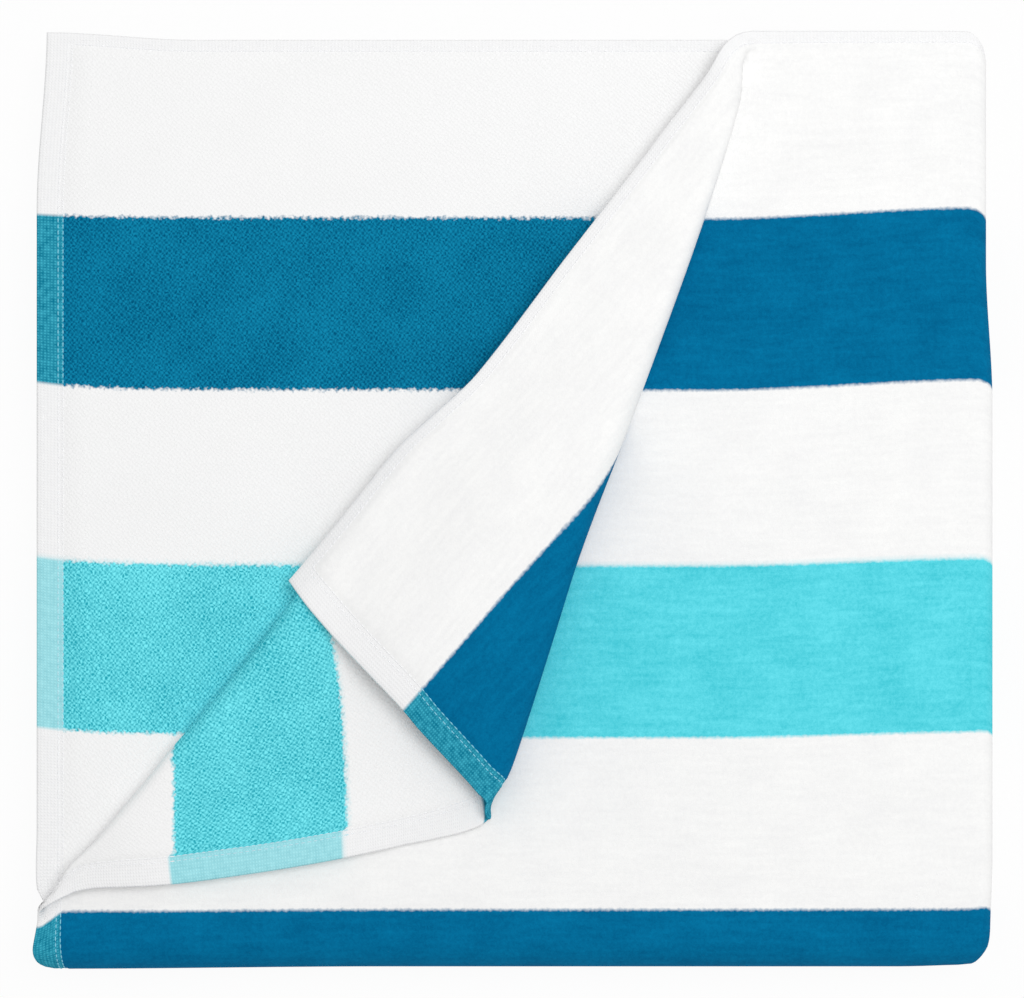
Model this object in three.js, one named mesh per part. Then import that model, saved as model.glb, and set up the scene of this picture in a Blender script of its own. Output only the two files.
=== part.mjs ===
// A bath sheet: one woven panel, velour on one face and terry on the other, folded in quarters
// along its length and in half across its width, with one corner of the top layer turned over
// and its point turned back again. Millimetres, +Z up, origin at the middle of the footprint.
//
// The panel is one solid. A point of the flat cloth is (u, v): u runs along the length from the
// end hem that lies on top, v runs across the width from the selvage at the back (+Y).
import * as THREE from "three";

// ---- Driving dimensions ---------------------------------------------------------------------
const PITCH = 4.6;            // middle of one layer to the middle of the next
const CLOTH = 3.4;            // thickness of the cloth with its pile
const HEM_CLOTH = 2.6;        // thickness of the flat-woven end hems
const TOP_HEM = 14.4;         // width of the end hem that lies on top
const SECOND_HEM = 13.5;      // width of the other end hem
const WIDTH = 904;            // cut width of the panel
const FLAT_SCALE = 0.985;     // the cloth lies a little slack; the rest gathers in the width fold

const RIGHT = 223.6;          // right edge of the folded stack
const TOP_HEM_X = -224.2;     // end hem of the top layer
const SECOND_HEM_X = -222.7;  // end hem of the second layer
const LEFT_FOLD_X = -219.4;   // fold on the left, between the third and fourth layers
const FRONT = -221;           // front of the stack, where the width is folded in half

const LAYERS = 4;             // layers along the length; the width fold doubles them
const TOP = (LAYERS - 1) / 2 * PITCH;          // offset of the top layer from the slab's middle
const MID_Z = (2 * LAYERS - 1) / 2 * PITCH + CLOTH / 2;   // height of the whole stack's middle
const SLAB_RADIUS = LAYERS / 2 * PITCH;        // radius of the slab's middle round the width fold
const FOLD_Y = FRONT + SLAB_RADIUS + TOP + CLOTH / 2;     // centre line of the width fold

// Where each layer's selvage ends at the back: offset of the layer from the slab's middle, in
// pitches, with the y of its front-half and back-half edges.
const SELVAGES = [
  { offset: -1.5, front: 214.6, back: 212.6 },
  { offset: -0.5, front: 213.2, back: 211.6 },
  { offset: 0.5, front: 214.6, back: 213.4 },
  { offset: 1.5, front: 217.9, back: 215.2 },
];
const TOP_SELVAGE = SELVAGES.at(-1);

// ---- The turned corner ----------------------------------------------------------------------
// Both folds run out from one point just behind the back edge. Each row is a section across
// them at a distance from that point. "near" is the direction of the first fold and "far" of
// the second, in degrees; "turn" is how far the point of the corner has swung round; nearRoll
// and farRoll are the radii of the two rolls, and curl is how far they are folded over, where 1
// is flat on itself; flap is how much of its cloth the flap covers, as it slopes and ripples.
const APEX = new THREE.Vector2(118, 223.5);
const FOLDS = [
  { r: 5, near: 242, far: 251.0, turn: 4.0, nearRoll: 2.4, farRoll: 2.4, curl: 0.05, flap: 0.92 },
  { r: 12, near: 241, far: 251.0, turn: 10.0, nearRoll: 2.4, farRoll: 2.4, curl: 0.32, flap: 0.92 },
  { r: 20, near: 240, far: 251.0, turn: 24.0, nearRoll: 2.4, farRoll: 2.4, curl: 0.62, flap: 0.92 },
  { r: 30, near: 238, far: 250.6, turn: 33.0, nearRoll: 2.4, farRoll: 2.4, curl: 0.9, flap: 0.92 },
  { r: 45, near: 235.6, far: 250.8, turn: 38.6, nearRoll: 2.5, farRoll: 2.6, curl: 1, flap: 0.92 },
  { r: 60, near: 234.0, far: 251.6, turn: 42.0, nearRoll: 2.6, farRoll: 3.0, curl: 1, flap: 0.92 },
  { r: 95, near: 232.6, far: 251.8, turn: 46.0, nearRoll: 3.0, farRoll: 4.6, curl: 1, flap: 0.91 },
  { r: 160, near: 231.6, far: 251.2, turn: 48.6, nearRoll: 4.0, farRoll: 7.2, curl: 1, flap: 0.88 },
  { r: 213, near: 231.3, far: 250.75, turn: 49.6, nearRoll: 4.6, farRoll: 9.2, curl: 1, flap: 0.825 },
  { r: 240, near: 231.25, far: 250.5, turn: 48.9, nearRoll: 4.8, farRoll: 10.0, curl: 1, flap: 0.885 },
  { r: 262, near: 231.2, far: 250.43, turn: 48.3, nearRoll: 5.0, farRoll: 10.4, curl: 1, flap: 0.925 },
  { r: 300, near: 231.15, far: 250.45, turn: 48.4, nearRoll: 5.2, farRoll: 10.2, curl: 1, flap: 0.886 },
  { r: 342, near: 231.25, far: 250.23, turn: 48.45, nearRoll: 5.4, farRoll: 9.2, curl: 1, flap: 0.85 },
  { r: 390, near: 231.35, far: 250.04, turn: 48.45, nearRoll: 6.0, farRoll: 4.4, curl: 1, flap: 0.85 },
  { r: 428, near: 231.35, far: 250.04, turn: 48.45, nearRoll: 6.4, farRoll: 3.6, curl: 1, flap: 0.85 },
  { r: 465, near: 231.15, far: 250.04, turn: 48.45, nearRoll: 5.6, farRoll: 3.6, curl: 1, flap: 0.85 },
  { r: 503, near: 231.05, far: 250.04, turn: 48.45, nearRoll: 4.2, farRoll: 3.6, curl: 1, flap: 0.85 },
  { r: 520, near: 231.2, far: 250.04, turn: 48.45, nearRoll: 3.6, farRoll: 3.6, curl: 1, flap: 0.85 },
  { r: 541, near: 230.9, far: 250.04, turn: 48.45, nearRoll: 3.0, farRoll: 3.6, curl: 1, flap: 0.85 },
];
const NEAR_SLOPE = 46;        // how far the middle layer takes to come down from the near roll
const FLAP_LIFT = 1.2;        // how far the flap stands clear of the middle layer at the near roll
const GATHER = 2.6;           // how much of the middle layer's spare cloth gathers at the far roll

// How the folded end hem was pulled out of line: v along the hem, then the shift in x and y, and
// how far in along the length it reaches.
const HEM_PULLS = [
  { v: 0, dx: 1.4, dy: -2.2, reach: 105 }, { v: 20, dx: 0.5, dy: -5.2, reach: 105 },
  { v: 40, dx: 0.7, dy: -7.6, reach: 105 }, { v: 89, dx: 1, dy: -8.9, reach: 105 },
  { v: 103, dx: 0.9, dy: -10, reach: 105 }, { v: 147, dx: 2, dy: -11.2, reach: 105 },
  { v: 172, dx: 1, dy: -12.8, reach: 105 }, { v: 200, dx: -0.6, dy: -12.2, reach: 105 },
  { v: 220, dx: -2.4, dy: -10.8, reach: 105 }, { v: 252, dx: -5, dy: -7.3, reach: 105 },
  { v: 275, dx: -8, dy: -5.4, reach: 100 }, { v: 300, dx: -10.2, dy: -3.5, reach: 98 },
  { v: 334, dx: -11.7, dy: -0.4, reach: 90 }, { v: 350, dx: -11.9, dy: 2, reach: 62 },
  { v: 368, dx: -12.3, dy: 5.3, reach: 44 }, { v: 378, dx: -13.1, dy: 7.5, reach: 36 },
  { v: 386, dx: -14.2, dy: 8.6, reach: 32 }, { v: 394, dx: -13.3, dy: 7, reach: 30 },
  { v: 400, dx: -8.8, dy: 4.2, reach: 28 }, { v: 404, dx: -4.4, dy: 2.3, reach: 28 },
  { v: 409, dx: 0, dy: 0, reach: 28 },
];

// How the tip of the flap was pulled further, fading out over TIP_REACH.
const TIP_PULLS = [
  { v: 147, dx: 0, dy: 0 }, { v: 153, dx: 0.1, dy: 0.5 }, { v: 157, dx: -2.5, dy: -0.6 },
  { v: 161, dx: -2.3, dy: -2 }, { v: 165, dx: 1.1, dy: -2.3 }, { v: 168.5, dx: 4.9, dy: -1.6 },
  { v: 172, dx: 5.6, dy: -2 }, { v: 175.5, dx: 4.5, dy: -2.7 }, { v: 185, dx: 1.9, dy: -3 },
  { v: 200, dx: 0.5, dy: -1.6 }, { v: 220, dx: 0, dy: 0 },
];
const TIP_REACH = 22;

// How the top end hem slips where the near fold meets it; it fades out over SLIP_REACH.
const HEM_SLIP = [
  { v: 392, dx: 0, dy: 0 }, { v: 398, dx: 0.8, dy: -2.5 }, { v: 404, dx: 2.4, dy: -6 },
  { v: 409, dx: 3, dy: -7.6 }, { v: 415.5, dx: 2.3, dy: -7.5 }, { v: 430, dx: 0.4, dy: -4.4 },
  { v: 450, dx: 0, dy: -1.4 }, { v: 480, dx: 0, dy: 0 },
];
const SLIP_REACH = 17;

// The second layer, which shows on the left, wasn't laid quite straight: how far it lies towards
// the back, and how much further its hem is out of place. Its back edge slips down over the edge
// of the stack by SECOND_TUCK.
const SECOND_SHIFT = [
  { v: 0, dy: 3.5, hemDx: 0, hemDy: 0 }, { v: 87, dy: 4.4, hemDx: 0, hemDy: 1.6 },
  { v: 170, dy: 3.8, hemDx: 0, hemDy: 3.7 }, { v: 252, dy: 3.5, hemDx: 0, hemDy: 4.0 },
  { v: 335, dy: 4.5, hemDx: 0, hemDy: 3.4 }, { v: 380, dy: 3.4, hemDx: 0, hemDy: 1.2 },
  { v: 404, dy: 1.5, hemDx: 0, hemDy: 0 }, { v: 411, dy: 1, hemDx: 3.5, hemDy: 0 },
  { v: 424, dy: 0, hemDx: 4, hemDy: 0 }, { v: 440, dy: 0, hemDx: 3, hemDy: 0 },
  { v: 470, dy: 0, hemDx: 0, hemDy: 0 },
];
const HEM_REACH = 24;
const SECOND_TUCK = 3.5;

// ---- Helpers --------------------------------------------------------------------------------
const { degToRad: radians, clamp, lerp: mix } = THREE.MathUtils;
const smooth = (x) => THREE.MathUtils.smoothstep(x, 0, 1);

// Value of one column of a table at x, on a smooth curve through its rows.
function fromTable(rows, key, column, x) {
  const last = rows.length - 1;
  if (x <= rows[0][key]) return rows[0][column];
  if (x >= rows[last][key]) return rows[last][column];
  const i = rows.findIndex((row) => row[key] > x) - 1;
  const slope = (k) => {
    const a = rows[Math.max(k - 1, 0)];
    const b = rows[Math.min(k + 1, last)];
    return (b[column] - a[column]) / (b[key] - a[key]);
  };
  const span = rows[i + 1][key] - rows[i][key];
  const t = (x - rows[i][key]) / span;
  return (2 * t ** 3 - 3 * t ** 2 + 1) * rows[i][column] + (t ** 3 - 2 * t ** 2 + t) * span * slope(i)
    + (3 * t ** 2 - 2 * t ** 3) * rows[i + 1][column] + (t ** 3 - t ** 2) * span * slope(i + 1);
}

// ---- Folded in quarters along the length -----------------------------------------------------
// Straights and turns of the back-and-forth section. Each row starts at x, at a distance "offset"
// from the middle of the slab, and runs in direction dir; a turn has a radius, negative where it
// bends back towards the middle. "steps" is how many facets it is cut into.
const TURN_X = RIGHT - TOP - CLOTH / 2;
const LEFT_TURN_X = LEFT_FOLD_X + PITCH / 2 + CLOTH / 2;
const SECTION = [
  { name: "top layer", length: TURN_X - TOP_HEM_X, x: TOP_HEM_X, offset: TOP, dir: 1 },
  { name: "outer turn", length: Math.PI * TOP, x: TURN_X, offset: 0, radius: TOP, dir: 1, steps: 9 },
  { name: "fourth layer", length: TURN_X - LEFT_TURN_X, x: TURN_X, offset: -TOP, dir: -1, steps: 3 },
  {
    name: "left turn", length: Math.PI * PITCH / 2, x: LEFT_TURN_X, offset: -PITCH,
    radius: -PITCH / 2, dir: -1, steps: 6,
  },
  {
    name: "third layer", length: TURN_X - LEFT_TURN_X, x: LEFT_TURN_X, offset: -PITCH / 2,
    dir: 1, steps: 3,
  },
  {
    name: "inner turn", length: Math.PI * PITCH / 2, x: TURN_X, offset: 0,
    radius: -PITCH / 2, dir: 1, steps: 6,
  },
  {
    name: "second layer", length: TURN_X - SECOND_HEM_X, x: TURN_X, offset: PITCH / 2,
    dir: -1, steps: 4,
  },
];
let reached = 0;
for (const piece of SECTION) {
  piece.start = reached;
  reached += piece.length;
}
const LENGTH = reached;

function alongLength(u) {
  const piece = SECTION.findLast((row) => row.start <= u + 1e-9) ?? SECTION[0];
  const s = u - piece.start;
  if (piece.radius === undefined) return { x: piece.x + piece.dir * s, offset: piece.offset };
  const angle = s / Math.abs(piece.radius);
  return {
    x: piece.x + piece.dir * Math.abs(piece.radius) * Math.sin(angle),
    offset: piece.offset + piece.radius * Math.cos(angle),
  };
}

// ---- Folded in half across the width ---------------------------------------------------------
function acrossWidth(v, offset) {
  const front = fromTable(SELVAGES, "offset", "front", offset / PITCH);
  const back = fromTable(SELVAGES, "offset", "back", offset / PITCH);
  const radius = SLAB_RADIUS + offset;
  const foldStart = (front - FOLD_Y) / FLAT_SCALE;
  const foldEnd = WIDTH - (back - FOLD_Y) / FLAT_SCALE;
  if (v < foldStart) return { y: front - v * FLAT_SCALE, z: MID_Z + radius };
  if (v > foldEnd) return { y: back - (WIDTH - v) * FLAT_SCALE, z: MID_Z - radius };
  const angle = Math.PI * (v - foldStart) / (foldEnd - foldStart);
  return { y: FOLD_Y - radius * Math.sin(angle), z: MID_Z + radius * Math.cos(angle) };
}

// ---- The corner turned over, and its point turned back ---------------------------------------
// Everything about the two folds at a distance r from the apex, angles in radians. The marks
// are the cloth's own directions where each roll begins and ends.
function foldSection(r) {
  const at = (column) => fromTable(FOLDS, "r", column, r);
  const near = radians(at("near"));
  const far = radians(at("far"));
  const nearRoll = at("nearRoll");
  const farRoll = at("farRoll");
  const bend = Math.PI * clamp(at("curl"), 0, 1);
  const marks = { nearStart: near + nearRoll / r };
  marks.nearEnd = marks.nearStart - bend * nearRoll / r;
  const selvage = Math.PI + Math.asin(Math.min((APEX.y - TOP_SELVAGE.front) / r, 1));
  const flapScale = at("flap");
  const flap = Math.max(far - farRoll / r - selvage - radians(at("turn")), 0) / flapScale;
  marks.farEnd = Math.min(selvage + flap, marks.nearEnd - bend * farRoll / r - 1e-4);
  marks.farStart = marks.farEnd + bend * farRoll / r;
  return { near, far, nearRoll, farRoll, bend, flapScale, marks };
}

// Distance q across the folds from the near one, and height h above the flat layer.
function acrossFolds(r, direction) {
  const { near, far, nearRoll, farRoll, bend, flapScale, marks } = foldSection(r);
  const nearTop = nearRoll * (1 - Math.cos(bend));
  const nearQ = nearRoll - nearRoll * Math.sin(bend);
  const middle = r * (marks.nearEnd - marks.farStart);
  const laid = smooth((r - 30) / 15);
  const farQ = mix(nearQ - Math.cos(bend) * middle, r * (far - near) - farRoll, laid);
  const easeAt = (q) => smooth((q - nearQ) / Math.min(NEAR_SLOPE, Math.max(farQ - nearQ, 1)));
  const middleH = (q) => mix(nearTop, Math.min(PITCH, nearTop), easeAt(q) * laid);
  if (direction >= marks.nearEnd) {
    const angle = r * (marks.nearStart - direction) / nearRoll;
    return { near, q: nearRoll - nearRoll * Math.sin(angle), h: nearRoll * (1 - Math.cos(angle)) };
  }
  if (direction >= marks.farStart) {
    const t = r * (marks.nearEnd - direction) / Math.max(middle, 1e-6);
    const spare = mix(1, clamp(middle / Math.max(farQ - nearQ, 1e-6), 0.7, 1.6), laid);
    const q = nearQ + (farQ - nearQ) * (spare * t - (spare - 1) * t ** GATHER);
    return { near, q, h: middleH(q) + (1 - laid) * Math.sin(bend) * middle * t };
  }
  const rise = middleH(farQ) + (1 - laid) * Math.sin(bend) * middle;
  const farTop = rise + farRoll * (1 - Math.cos(bend));
  if (direction >= marks.farEnd) {
    const angle = bend - r * (marks.farStart - direction) / farRoll;
    return {
      near,
      q: farQ + farRoll * (Math.sin(angle) - Math.sin(bend)),
      h: rise + farRoll * (Math.cos(angle) - Math.cos(bend)),
    };
  }
  const q = farQ - farRoll * Math.sin(bend) - flapScale * r * (marks.farEnd - direction);
  const rest = nearTop + PITCH + FLAP_LIFT;
  const ease = mix(1, easeAt(q), laid);
  const droop = 0.03 * Math.max(nearRoll - q, 0) ** 2;
  return { near, q, h: mix(rest, farTop, ease) - droop * laid };
}

function turnCorner(point, u, v) {
  const dx = point.x - APEX.x;
  const dy = point.y - APEX.y;
  const r = Math.hypot(dx, dy);
  const direction = Math.atan2(dy, dx) + (dy < 0 ? 2 * Math.PI : 0);
  if (r > FOLDS.at(-1).r || direction >= foldSection(r).marks.nearStart) return point;
  const { near, q, h } = acrossFolds(r, direction);
  const lifted = smooth(h / 3);
  const pull = (1 - smooth(u / fromTable(HEM_PULLS, "v", "reach", v))) * lifted;
  const tip = (1 - smooth(u / TIP_REACH)) * lifted;
  const pulled = (way) => fromTable(HEM_PULLS, "v", way, v) * pull + fromTable(TIP_PULLS, "v", way, v) * tip;
  const angle = near + q / r;
  return {
    x: APEX.x + r * Math.cos(angle) + pulled("dx"),
    y: APEX.y + r * Math.sin(angle) + pulled("dy"),
    z: point.z + h,
  };
}

// ---- Soft outline: rounded corners and edges a little out of true ------------------------------
// The cloth was folded a little askew, so its stripes rise towards the right edge.
const RISE = [
  { y: -218, rise: 0 }, { y: -190, rise: 0.2 }, { y: -115, rise: 2.7 }, { y: -33, rise: 3.5 },
  { y: 48, rise: 4.9 }, { y: 131, rise: 5.2 }, { y: 200, rise: 1.0 }, { y: 218, rise: 0 },
];
const SOFT_CORNERS = [
  { x: RIGHT, y: 217.9, radius: 10 },
  { x: RIGHT, y: FRONT, radius: 9 },
  { x: TOP_HEM_X, y: FRONT, radius: 12 },
];

function soften(point) {
  let { x, y } = point;
  for (const corner of SOFT_CORNERS) {
    const sx = Math.sign(corner.x);
    const sy = Math.sign(corner.y);
    const cx = corner.x - sx * corner.radius;
    const cy = corner.y - sy * corner.radius;
    const a = sx * (x - cx) / corner.radius;
    const b = sy * (y - cy) / corner.radius;
    if (a <= 0 || b <= 0) continue;
    x = cx + sx * corner.radius * a * Math.sqrt(Math.max(1 - b * b / 2, 0));
    y = cy + sy * corner.radius * b * Math.sqrt(Math.max(1 - a * a / 2, 0));
  }
  const frontLean = -1.1 * smooth((-60 - x) / 150) * smooth((-150 - y) / 60);
  const rightLean = mix(1.4, -1.6, smooth((y - 40) / 66)) * smooth((x - 80) / 130);
  const leftLean = 4.7 * smooth((y - 135) / 85) * smooth((-150 - x) / 70);
  const rise = fromTable(RISE, "y", "rise", y) * smooth((x - 90) / 132);
  const narrow = 1 - 0.012 * smooth((x - 212) / 12);
  return { x: x + rightLean + leftLean, y: (y + rise + frontLean) * narrow, z: point.z };
}

// Places where tight folds press the cloth thinner, and the part of its thickness lost there.
const PINCHES = [
  { x: 220, y: -207, reach: 40, lost: 0.55 }, { x: -206, y: -175, reach: 46, lost: 0.72 },
  { x: -14, y: -142, reach: 26, lost: 0.72 }, { x: 110, y: 210, reach: 26, lost: 0.7 },
];

function middleOfCloth(u, v) {
  let { x, offset } = alongLength(u);
  let { y, z } = acrossWidth(v, offset);
  const second = smooth((u - SECTION.at(-1).start) / 80);
  if (second > 0) {
    const atHem = second * Math.exp((SECOND_HEM_X - x) / HEM_REACH);
    const tuck = SECOND_TUCK * smooth((x - SECOND_HEM_X) / 75) * (1 - smooth(v / 60));
    y += (fromTable(SECOND_SHIFT, "v", "dy", v) - tuck) * second;
    y += fromTable(SECOND_SHIFT, "v", "hemDy", v) * atHem;
    x += fromTable(SECOND_SHIFT, "v", "hemDx", v) * atHem;
  }
  if (u < SECTION[0].length) {
    const atHem = 1 - smooth(u / SLIP_REACH);
    x += fromTable(HEM_SLIP, "v", "dx", v) * atHem;
    y += fromTable(HEM_SLIP, "v", "dy", v) * atHem;
  }
  let point = { x, y, z };
  if (u < SECTION[0].length && v < WIDTH / 2) point = turnCorner(point, u, v);
  point = soften(point);
  return new THREE.Vector3(point.x, point.y, point.z);
}

// One face of the cloth: side +1 is the velour face, -1 the terry face.
function faceOfCloth(u, v, side) {
  const step = 0.05;
  const along = middleOfCloth(Math.min(u + step, LENGTH), v).sub(middleOfCloth(Math.max(u - step, 0), v));
  const across = middleOfCloth(u, Math.min(v + step, WIDTH)).sub(middleOfCloth(u, Math.max(v - step, 0)));
  const normal = across.cross(along).normalize();
  const inHem = u < TOP_HEM || u > LENGTH - SECOND_HEM;
  const place = middleOfCloth(u, v);
  let thickness = inHem ? HEM_CLOTH : CLOTH;
  for (const { x, y, reach, lost } of PINCHES) {
    const away = Math.hypot(place.x - x, place.y - y);
    const kept = 1 - lost * (1 - smooth(away / reach));
    thickness = Math.min(thickness, (inHem ? HEM_CLOTH : CLOTH) * kept);
  }
  return place.addScaledVector(normal, side * thickness / 2);
}

// ---- Grid of the flat cloth, with its lines along the folds ------------------------------------
const spread = (from, to, steps) => Array.from({ length: steps }, (_, i) => mix(from, to, i / steps));
const hemLines = (hem) => [0, hem / 2, hem - 1, hem + 1];
const CORNER_END = APEX.x - TOP_HEM_X - 6;

const cornerLines = [...hemLines(TOP_HEM), ...spread(21, 262, 14), ...spread(262, CORNER_END, 5), CORNER_END];
const restLines = [
  ...spread(CORNER_END, SECTION[0].length, 3),
  ...SECTION.slice(1).flatMap((piece) => spread(piece.start, piece.start + piece.length, piece.steps)),
  ...hemLines(SECOND_HEM).map((edge) => LENGTH - edge).reverse(),
];

const vFoldStart = (TOP_SELVAGE.front - FOLD_Y) / FLAT_SCALE;
const vFoldEnd = WIDTH - (TOP_SELVAGE.back - FOLD_Y) / FLAT_SCALE;
const vFront = [...spread(0, vFoldStart, 5), vFoldStart];
const vBack = [...spread(vFoldStart, vFoldEnd, 9), ...spread(vFoldEnd, WIDTH, 3), WIDTH];

// v of the cloth points at column u whose direction from the apex is a given mark.
function vOfMark(u, directionAt) {
  const dx = TOP_HEM_X + u - APEX.x;
  let r = Math.abs(dx) * 1.5;
  let y = 0;
  for (let i = 0; i < 30; i += 1) {
    y = dx * Math.tan(directionAt(r));
    r = Math.hypot(dx, y);
  }
  return (TOP_SELVAGE.front - APEX.y - y) / FLAT_SCALE;
}

// Rows of the corner's grid at column u: the flap, the far roll, the middle, the near roll.
function cornerRows(u) {
  const between = (a, b, steps, crowd = 1) => spread(0, 1, steps).map((t) => (r) => {
    const { marks } = foldSection(r);
    return mix(marks[a], marks[b], 1 - (1 - t) ** crowd);
  });
  const marks = [
    ...between("farEnd", "farStart", 6), ...between("farStart", "nearEnd", 8, 1.7),
    ...between("nearEnd", "nearStart", 8), (r) => foldSection(r).marks.nearStart,
  ];
  const found = marks.map((mark) => vOfMark(u, mark));
  const rows = spread(0, Math.max(found[0], 2), 10);
  for (const v of found) rows.push(Math.max(v, rows.at(-1) + 0.8));
  return [...rows, ...spread(rows.at(-1), vFoldStart, 6).slice(1), vFoldStart];
}

// A cell is its corners (u, v), anticlockwise with u to the right and v down.
function gridCells() {
  const cells = [];
  const block = (columns, rowsAt) => {
    for (let i = 0; i + 1 < columns.length; i += 1) {
      const left = rowsAt(columns[i]);
      const right = rowsAt(columns[i + 1]);
      for (let j = 0; j + 1 < left.length; j += 1) {
        cells.push([
          [columns[i], left[j]], [columns[i], left[j + 1]],
          [columns[i + 1], right[j + 1]], [columns[i + 1], right[j]],
        ]);
      }
    }
  };
  block(cornerLines, cornerRows);
  block(restLines, () => vFront);
  block([...cornerLines, ...restLines.slice(1)], () => vBack);
  return cells;
}

// ---- The solid ----------------------------------------------------------------------------------
function towelGeometry() {
  const cells = gridCells();
  const seam = [...new Set(cells.flat().filter(([u]) => u === CORNER_END).map(([, v]) => v))];
  seam.sort((a, b) => a - b);

  const keyOf = ([u, v]) => `${u.toFixed(4)} ${v.toFixed(4)}`;
  const positions = [];
  const numbers = new Map();
  const vertex = (corner, side) => {
    const key = `${keyOf(corner)} ${side}`;
    if (!numbers.has(key)) {
      numbers.set(key, positions.length / 3);
      positions.push(...faceOfCloth(corner[0], corner[1], side).toArray());
    }
    return numbers.get(key);
  };

  const triangles = [];
  const edges = new Map();
  for (const cell of cells) {
    const outline = [];
    cell.forEach((corner, i) => {
      const next = cell[(i + 1) % cell.length];
      outline.push(corner);
      if (corner[0] !== CORNER_END || next[0] !== CORNER_END) return;
      const low = Math.min(corner[1], next[1]) + 1e-6;
      const high = Math.max(corner[1], next[1]) - 1e-6;
      const extra = seam.filter((v) => v > low && v < high).map((v) => [CORNER_END, v]);
      outline.push(...(next[1] > corner[1] ? extra : extra.reverse()));
    });
    outline.forEach((corner, i) => {
      const next = outline[(i + 1) % outline.length];
      const reverse = `${keyOf(next)}>${keyOf(corner)}`;
      if (!edges.delete(reverse)) edges.set(`${keyOf(corner)}>${keyOf(next)}`, [corner, next]);
    });
    const centre = outline.reduce(([a, b], [u, v]) => [a + u / outline.length, b + v / outline.length], [0, 0]);
    for (const side of [1, -1]) {
      const ring = outline.map((corner) => vertex(corner, side));
      const faces = ring.length === 4
        ? [[ring[0], ring[1], ring[2]], [ring[0], ring[2], ring[3]]]
        : ring.map((number, i) => [vertex(centre, side), number, ring[(i + 1) % ring.length]]);
      for (const [a, b, c] of faces) triangles.push(...(side > 0 ? [a, b, c] : [a, c, b]));
    }
  }
  for (const [from, to] of edges.values()) {
    const [a, b, c, d] = [vertex(from, 1), vertex(to, 1), vertex(to, -1), vertex(from, -1)];
    triangles.push(b, a, d, b, d, c);
  }

  const geometry = new THREE.BufferGeometry();
  geometry.setAttribute("position", new THREE.Float32BufferAttribute(positions, 3));
  geometry.setIndex(triangles);
  geometry.computeVertexNormals();
  return geometry;
}

const cotton = new THREE.MeshStandardMaterial({ color: 0xf6f6f4, roughness: 0.95, metalness: 0 });
const towel = new THREE.Mesh(towelGeometry(), cotton);
towel.name = "towel";
towel.geometry.computeBoundingBox();
const middle = towel.geometry.boundingBox.getCenter(new THREE.Vector3());
towel.position.set(-middle.x, -middle.y, 0);

const bathSheet = new THREE.Group();
bathSheet.add(towel);
export default bathSheet;
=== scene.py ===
# %% [markdown]
# # A folded bath sheet
#
# The object is one large towel. It is a single woven panel of cotton: one face is sheared to a
# velour, the other keeps its terry loops, and stripes run along the whole length. It is folded in
# quarters along its length, then in half across its width, and one corner of the top layer is
# turned over, with its point turned back again.
#
# A cloth like this could be simulated, but a simulation never lands on a neat, known fold. So the
# folds are worked out as a map: a function takes a place (u, v) on the flat cloth and gives its
# place on the folded pile. One grid sent through that map is the whole towel, and the stripes,
# the hems and the stitches follow, because they know where they are on the flat cloth.

# %% Load the frame
import math

import bpy
import numpy as np
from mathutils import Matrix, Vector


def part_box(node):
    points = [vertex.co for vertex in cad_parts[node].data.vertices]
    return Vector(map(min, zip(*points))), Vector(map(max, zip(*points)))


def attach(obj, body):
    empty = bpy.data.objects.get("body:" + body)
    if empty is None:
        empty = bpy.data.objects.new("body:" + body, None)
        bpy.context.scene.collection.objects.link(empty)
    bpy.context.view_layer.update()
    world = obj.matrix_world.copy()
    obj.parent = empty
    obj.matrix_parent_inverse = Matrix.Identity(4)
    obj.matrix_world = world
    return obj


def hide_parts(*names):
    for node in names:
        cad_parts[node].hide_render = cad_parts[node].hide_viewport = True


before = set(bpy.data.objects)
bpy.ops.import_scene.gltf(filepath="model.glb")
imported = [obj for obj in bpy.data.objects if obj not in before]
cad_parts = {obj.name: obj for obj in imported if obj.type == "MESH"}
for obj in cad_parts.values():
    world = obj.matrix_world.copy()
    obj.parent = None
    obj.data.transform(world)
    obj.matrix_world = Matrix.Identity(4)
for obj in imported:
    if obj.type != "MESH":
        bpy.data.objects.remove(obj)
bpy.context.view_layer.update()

cad_low, cad_high = (np.array(corner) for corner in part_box("towel"))
print("frame box in mm", (cad_high - cad_low).round(4) * 1000)

# %% [markdown]
# ## Camera, floor and light
#
# The pile is seen from straight above, so the camera needs no turn: an unturned camera looks down
# -Z with +Y upwards. A long lens held well above keeps the sides of the pile almost hidden.
#
# The light is plain and soft. A pale world lights everything evenly, and one large square lamp
# high over the back right corner gives the rolls and hems their gentle shading, which falls to the
# front left. The floor is white: a camera ray sees it mostly as a plain white glow, and the rest of
# it is ordinary matt paint that keeps the shadow.

# %% Camera
MM = 0.001
LENS = 85.0                   # focal length, in the camera's own millimetres
SENSOR = 36.0
VIEW_WIDTH = 477.0            # what the frame covers at the height of the top layer
TOP_LAYER = 35.6              # height of the flat top layer
VIEW_MIDDLE = (-0.6, 1.7)

camera_data = bpy.data.cameras.new("camera")
camera_data.lens = LENS
camera_data.sensor_width = SENSOR
camera = bpy.data.objects.new("camera", camera_data)
camera_height = TOP_LAYER + VIEW_WIDTH * LENS / SENSOR
camera.location = (VIEW_MIDDLE[0] * MM, VIEW_MIDDLE[1] * MM, camera_height * MM)
bpy.context.collection.objects.link(camera)
bpy.context.scene.camera = camera
print("camera", round(camera_height), "mm above the floor")

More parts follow.
